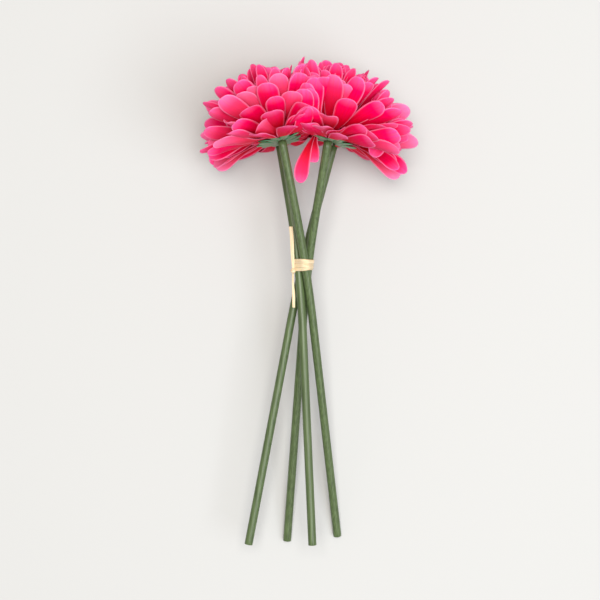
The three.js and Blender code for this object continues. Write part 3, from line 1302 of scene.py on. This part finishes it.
@dataclass
class Stem:
    """A moulded stem with a faint seam down each side, square cut, with its threading peg."""

    flower: Flower
    frame: HeadFrame
    plastic: bpy.types.Material
    radius: float = 3.2
    peg_radius: float = 1.05
    peg_top: float = 18.2
    sides: int = 28
    steps: int = 72
    seam: float = 0.09
    seam_place: int = 3  # the corner of the section that the first seam runs along
    cut_rounding: float = 0.28

    def build(self) -> bpy.types.Object:
        """Makes the stem.

        Returns:
            The new piece.
        """
        bm = bmesh.new()
        ring = bmesh.ops.create_circle(
            bm, cap_ends=True, segments=self.sides, radius=self.radius * MM
        )["verts"]
        for index, vert in enumerate(ring):
            if index % (self.sides // 2) == self.seam_place:
                vert.co *= 1 + self.seam / self.radius
        edges = bm.edges[:]
        cut_y = self.flower.route.cut_y
        stations = [
            cut_y + (STEM_TOP_Y - cut_y) * i / self.steps for i in range(self.steps + 1)
        ]
        self._seat(bm, ring, None, cut_y)
        for last, y in zip(stations, stations[1:]):
            ring, edges = self._grow(bm, edges)
            self._seat(bm, ring, last, y)
        self._close_with_peg(bm, edges)
        bmesh.ops.recalc_face_normals(bm, faces=bm.faces)
        self._soften_cut(bm)
        name, node = f"{self.flower.name}_stalk", f"{self.flower.name}_stem"
        return finish_piece(bm, name, node, (self.plastic,))

    @staticmethod
    def _grow(bm: BMesh, edges: list[BMEdge]) -> tuple[list[BMVert], list[BMEdge]]:
        """Extrudes the open end.

        Args:
            bm: The stem's mesh.
            edges: The open end's edges.

        Returns:
            The new end's vertices and edges.
        """
        grown = bmesh.ops.extrude_edge_only(bm, edges=edges)["geom"]
        verts = [item for item in grown if isinstance(item, BMVert)]
        return verts, [item for item in grown if isinstance(item, BMEdge)]

    def _turned(self, y: float) -> Matrix:
        """Gives the stem's place and direction at y.

        Args:
            y: Where along the stem, in millimetres.

        Returns:
            A matrix in metres that turns +Z along the stem.
        """
        here = self.flower.route.point(y)
        ahead = self.flower.route.point(y + 1)
        way = (ahead - here).normalized()
        right = way.cross(Vector((0, 0, 1))).normalized()
        up = right.cross(way)
        turn = Matrix((up, right, way)).transposed().to_4x4()
        return Matrix.Translation(here * MM) @ turn

    def _seat(self, bm: BMesh, ring: Sequence[BMVert], last: Optional[float], y: float) -> None:
        """Moves a ring from its last station, or from the origin, to the next.

        Args:
            bm: The stem's mesh.
            ring: The ring's vertices.
            last: The station it is at, or None at the origin.
            y: The station it goes to.
        """
        move = self._turned(y)
        if last is not None:
            move = move @ self._turned(last).inverted()
        bmesh.ops.transform(bm, matrix=move, verts=list(ring))

    def _close_with_peg(self, bm: BMesh, edges: list[BMEdge]) -> None:
        """Narrows the top to the thin peg that the head is threaded on.

        Args:
            bm: The stem's mesh.
            edges: The open end's edges.
        """
        neck, edges = self._grow(bm, edges)
        share = self.peg_radius / self.radius
        about_top = Matrix.Translation(-self.frame.origin * MM)
        bmesh.ops.scale(bm, vec=(share, share, share), verts=neck, space=about_top)
        top, edges = self._grow(bm, edges)
        bmesh.ops.translate(bm, vec=self.frame.axis * self.peg_top * MM, verts=top)
        bmesh.ops.contextual_create(bm, geom=edges)

    def _soften_cut(self, bm: BMesh) -> None:
        """Rounds the cut end's sharp edge a little.

        Args:
            bm: The stem's mesh.
        """
        caps = [face for face in bm.faces if len(face.verts) == self.sides]
        cut = min(caps, key=lambda face: face.calc_center_median().y)
        bmesh.ops.bevel(
            bm,
            geom=list(cut.edges),
            offset=self.cut_rounding * MM,
            segments=2,
            profile=0.5,
            affect="EDGES",
            material=-1,
        )


@dataclass(frozen=True)
class Strand:
    """One turn of raffia: its place along the stems, width, lift, tilt and tone."""

    place: float
    width: float
    lift: float
    tilt: float
    tone: float


@dataclass(frozen=True)
class Tail:
    """One loose end of raffia: its names, its centre line from the knot out, and its widths."""

    name: str
    node: str
    points: tuple[tuple[float, float, float], ...]
    widths: tuple[float, float]
    tone: float


@dataclass
class RaffiaTie:
    """The tie: a flat wrap of several turns, a knot and two short tails."""

    fibre: bpy.types.Material
    stem_radius: float = 3.15
    strip: float = 0.22
    turn_steps: int = 72
    loop_radius: float = 9.0
    crown: float = 0.12
    flutter: float = 0.05
    knot_centre: tuple[float, float, float] = (-5.3, 22.6, 55.6)
    knot_size: tuple[float, float, float] = (1.75, 2.0, 1.9)
    dents: tuple[float, float] = (0.08, 0.05)
    fold_leans: tuple[float, float] = (0.25, 1.15)
    fold_widths: tuple[float, float] = (2.0, 1.7)
    fold_reach: float = 1.98
    fold_depth: float = 0.26
    fold_flatness: float = 0.9
    lump_tone: float = 0.4
    fold_tones: tuple[float, float] = (0.2, 0.7)
    tail_steps: int = 26
    tail_run: float = 31.0
    tail_lean: float = 0.5
    tail_sway: float = 0.15
    tail_wave: float = 0.12
    tail_fold: float = 0.18
    tail_crease: float = 0.06
    widening: float = 1.6  # a tail has its full width after the length over this
    strands: tuple[Strand, ...] = (
        Strand(-2.7, 3.3, 0.36, 0.5, 0.1),
        Strand(-0.9, 3.1, 0.62, -0.4, 0.35),
        Strand(1.1, 3.2, 0.4, 0.35, 0.6),
        Strand(2.9, 3.1, 0.66, -0.25, 0.85),
    )
    tails: tuple[Tail, ...] = (
        Tail(
            "raffia_end_up",
            "raffia_tail_up",
            ((-5.4, 24.2, 55.6), (-5.6, 34.0, 56.3), (-6.3, 46.0, 56.8), (-7.1, 56.8, 57.2)),
            (2.2, 3.0),
            0.3,
        ),
        Tail(
            "raffia_end_down",
            "raffia_tail_down",
            ((-5.4, 20.8, 54.6), (-5.5, 13.0, 55.4), (-5.0, 3.0, 56.3), (-4.7, -5.9, 57.1)),
            (1.4, 2.1),
            0.7,
        ),
    )

    def build(self) -> list[bpy.types.Object]:
        """Makes the wrap, the knot and both tails.

        Returns:
            The new pieces.
        """
        return [self._wrap(), self._knot(), *(self._tail(tail) for tail in self.tails)]

    @staticmethod
    def _layers(bm: BMesh) -> dict[str, Any]:
        """Creates the attribute layers a strip's finish reads."""
        layers = bm.verts.layers.float
        return {name: layers.new(name) for name in ("along_mm", "across_mm", "tone")}

    def _outline(self, turn: float, y: float, lift: float) -> Vector:
        """Follows a taut loop round all the stems.

        Args:
            turn: How far round the tie, in radians.
            y: Where along the stems.
            lift: How far off the stems.

        Returns:
            The loop's point.
        """
        way = Vector((math.cos(turn), 0, math.sin(turn)))
        centres = [flower.route.point(y) for flower in FLOWERS]
        furthest = max(centres, key=lambda centre: centre.dot(way))
        return furthest + way * (self.stem_radius + lift)

    def _wrap(self) -> bpy.types.Object:
        """Makes the turns of the wrap as closed strips lying on the stems.

        Returns:
            The new piece.
        """
        bm = bmesh.new()
        layers = self._layers(bm)
        for strand in self.strands:
            grid = bmesh.ops.create_grid(
                bm, x_segments=self.turn_steps, y_segments=4, size=1.0
            )
            for vert in grid["verts"]:
                turn = math.pi * (vert.co.x + 1)
                v = vert.co.y
                middle = TIE_Y + strand.place + strand.tilt * math.cos(turn)
                y = middle + v * strand.width / 2
                bulge = self.crown * (1 - v * v)
                bulge += self.flutter * math.sin(5 * turn + 7 * strand.tone)
                spot = self._outline(turn, y, strand.lift + bulge)
                spot.y = y + FRAME_SHIFT.y
                vert.co = spot * MM
                vert[layers["along_mm"]] = turn * self.loop_radius
                vert[layers["across_mm"]] = v * strand.width / 2
                vert[layers["tone"]] = strand.tone
        bmesh.ops.remove_doubles(bm, verts=bm.verts, dist=1e-6)
        bmesh.ops.recalc_face_normals(bm, faces=bm.faces)
        piece = finish_piece(bm, "raffia_turns", "raffia_wrap", (self.fibre,))
        thicken(piece, self.strip, 0, 0.0)
        return piece

    def _knot(self) -> bpy.types.Object:
        """Makes the pulled-tight knot: a lump with two folded strips over it.

        Returns:
            The new piece.
        """
        bm = bmesh.new()
        layers = self._layers(bm)
        centre = Vector(self.knot_centre) + FRAME_SHIFT
        wide, long, high = self.knot_size
        broad, fine = self.dents
        lump = bmesh.ops.create_icosphere(bm, subdivisions=3, radius=1.0)["verts"]
        for vert in lump:
            x, y, z = vert.co
            dent = 1 + broad * math.sin(4 * y + 2 * x) + fine * math.sin(7 * z - 3 * y)
            vert[layers["along_mm"]] = high * z
            vert[layers["across_mm"]] = long * y
            vert[layers["tone"]] = self.lump_tone
            vert.co = (centre + Vector((wide * x, long * y, high * z)) * dent) * MM
        for lean, width, tone in zip(self.fold_leans, self.fold_widths, self.fold_tones):
            self._fold(bm, layers, centre, lean, width, tone)
        bmesh.ops.remove_doubles(bm, verts=bm.verts, dist=1e-6)
        bmesh.ops.recalc_face_normals(bm, faces=bm.faces)
        return finish_piece(bm, "raffia_bow_knot", "raffia_knot", (self.fibre,))

    def _fold(
        self,
        bm: BMesh,
        layers: dict[str, Any],
        centre: Vector,
        lean: float,
        width: float,
        tone: float,
    ) -> None:
        """Adds one strip folded round the knot, as a closed ring of rounded section.

        Args:
            bm: The knot's mesh.
            layers: Its attribute layers.
            centre: The knot's middle.
            lean: How far the ring is turned about X, in radians.
            width: The strip's width.
            tone: Which part of the fibre pattern it shows.
        """
        turn = Matrix.Rotation(lean, 4, "X")
        grid = bmesh.ops.create_grid(bm, x_segments=28, y_segments=8, size=1.0)
        for vert in grid["verts"]:
            round_knot = math.pi * (vert.co.x + 1)
            round_strip = math.pi * (vert.co.y + 1)
            reach = self.fold_reach + self.fold_depth * math.cos(round_strip)
            across = math.sin(round_strip) * width / 2
            x = math.cos(round_knot) * reach * self.fold_flatness
            spot = Vector((x, across, math.sin(round_knot) * reach))
            vert[layers["along_mm"]] = round_knot * self.fold_reach
            vert[layers["across_mm"]] = across
            vert[layers["tone"]] = tone
            vert.co = (centre + turn @ spot) * MM

    def _tail(self, tail: Tail) -> bpy.types.Object:
        """Makes one flat tail with a square-cut end, a little curved and wavy.

        Args:
            tail: Its line, widths, names and tone.

        Returns:
            The new piece.
        """
        bm = bmesh.new()
        layers = self._layers(bm)
        start, end = tail.widths
        grid = bmesh.ops.create_grid(bm, x_segments=4, y_segments=self.tail_steps, size=1.0)
        for vert in grid["verts"]:
            u, share = vert.co.x, (vert.co.y + 1) / 2
            centre = self._between(tail.points, share) + FRAME_SHIFT
            half = (start + (end - start) * min(1, share * self.widening)) / 2
            lean = self.tail_lean * (1 - share)
            lean += self.tail_sway * math.sin(6 * share + 9 * tail.tone)
            fold = self.tail_fold * u * u - self.tail_crease * math.sin(3 * math.pi * u)
            wave = self.tail_wave * math.sin(9 * share + 4 * tail.tone)
            side = Vector((math.cos(lean), 0, -math.sin(lean)))
            face = Vector((math.sin(lean), 0, math.cos(lean)))
            vert.co = (centre + side * (u * half + wave) + face * fold) * MM
            vert[layers["along_mm"]] = share * self.tail_run
            vert[layers["across_mm"]] = u * half
            vert[layers["tone"]] = tail.tone
        bmesh.ops.recalc_face_normals(bm, faces=bm.faces)
        piece = finish_piece(bm, tail.name, tail.node, (self.fibre,))
        thicken(piece, self.strip, 0, 0.0)
        smooth_out(piece)
        return piece

    @staticmethod
    def _between(points: Sequence[tuple[float, float, float]], share: float) -> Vector:
        """Reads a point on the smooth curve through the given points.

        Args:
            points: The curve's points.
            share: How far along, from 0 to 1.

        Returns:
            The curve's point.
        """
        place = share * (len(points) - 1)
        index = min(int(place), len(points) - 2)
        mix = place - index
        before = Vector(points[max(index - 1, 0)])
        start, end = Vector(points[index]), Vector(points[index + 1])
        after = Vector(points[min(index + 2, len(points) - 1)])
        leaving, arriving = (end - before) / 2, (after - start) / 2
        m2, m3 = mix * mix, mix * mix * mix
        return (
            start * (2 * m3 - 3 * m2 + 1)
            + leaving * (m3 - 2 * m2 + mix)
            + end * (3 * m2 - 2 * m3)
            + arriving * (m3 - m2)
        )


@dataclass(frozen=True)
class Softbox:
    """A square soft light: its name, its place and size in metres, its power and its tint."""

    name: str
    place: tuple[float, float, float]
    size: float
    watts: float
    tint: str


@dataclass
class Studio:
    """The plain board, soft lights and the camera that looks straight down."""

    board: bpy.types.Material
    height: float = 1300.0
    view_width: float = 484.8
    sensor: float = 36.0
    board_size: float = 6.0
    aim: tuple[float, float, float] = (0.0, 0.05, 0.05)
    air_tint: str = "FFF3EB"
    air_strength: float = 0.44
    lights: tuple[Softbox, ...] = (
        Softbox("key_softbox", (1.2, -0.6, 2.4), 1.6, 40.0, "F6F9FF"),
        Softbox("fill_softbox", (0.0, 0.2, 2.8), 1.3, 74.0, "FFFAF4"),
    )

    def build(self) -> None:
        """Makes the board, the camera, the lights and the world."""
        self._board()
        self._camera()
        for softbox in self.lights:
            self._light(softbox)
        world = bpy.data.worlds.new("studio_air")
        world.use_nodes = True
        back = world.node_tree.nodes["Background"]
        back.inputs["Color"].default_value = linear(self.air_tint)
        back.inputs["Strength"].default_value = self.air_strength
        bpy.context.scene.world = world
        bpy.context.scene.view_settings.view_transform = "Standard"

    def _board(self) -> None:
        """Makes the flat board the bunch lies on."""
        bm = bmesh.new()
        bmesh.ops.create_grid(bm, x_segments=1, y_segments=1, size=self.board_size / 2)
        mesh = bpy.data.meshes.new("studio_board")
        bm.to_mesh(mesh)
        bm.free()
        mesh.materials.append(self.board)
        board = bpy.data.objects.new("studio_board", mesh)
        bpy.context.collection.objects.link(board)

    def _camera(self) -> None:
        """Puts the camera over the bunch, looking straight down."""
        data = bpy.data.cameras.new("overhead")
        data.sensor_width = self.sensor
        data.lens = self.sensor * self.height / self.view_width
        camera = bpy.data.objects.new("overhead", data)
        camera.location = (FRAME_SHIFT.x * MM, FRAME_SHIFT.y * MM, self.height * MM)
        bpy.context.collection.objects.link(camera)
        bpy.context.scene.camera = camera

    def _light(self, softbox: Softbox) -> None:
        """Adds one soft light, turned to the middle of the bunch.

        Args:
            softbox: The light's place, size, power and tint.
        """
        data = bpy.data.lights.new(softbox.name, "AREA")
        data.size = softbox.size
        data.energy = softbox.watts
        data.color = linear(softbox.tint)[:3]
        lamp = bpy.data.objects.new(softbox.name, data)
        lamp.location = softbox.place
        aim = Vector(self.aim) - Vector(softbox.place)
        lamp.rotation_euler = aim.to_track_quat("-Z", "Y").to_euler()
        bpy.context.collection.objects.link(lamp)


def main() -> None:
    """Builds the bunch and the studio."""
    logging.basicConfig(level=logging.INFO, format="%(name)s: %(message)s")
    Studio(PaintedBoard().build()).build()
    # Each cloth's root colour is partly dye and partly painted shade at the petals' bases.
    inner = PetalCloth(Side.INNER).build()
    outer = PetalCloth(Side.OUTER, root="D80030", middle="EE005A", tip="FA5A9A").build()
    green = CalyxSheet().build()
    deep = PetalCloth(Side.CENTRE, root="A80020", middle="D00C3C", tip="E82860").build()
    stalk = MouldedPolythene().build()
    frames = [HeadFrame.on(flower.route) for flower in FLOWERS]
    for flower, head in zip(FLOWERS, frames):
        crowding = Crowding(head)
        crowding.face([other for other in frames if other is not head])
        stem = Stem(flower, head, stalk).build()
        LOG.info("built %s", stem.name)
        for piece in FlowerHead(flower, head, crowding, inner, outer, green, deep).build():
            LOG.info("built %s", piece.name)
    for piece in RaffiaTie(RaffiaFibre().build()).build():
        LOG.info("built %s", piece.name)
    bpy.context.view_layer.update()


if __name__ == "__main__":
    main()
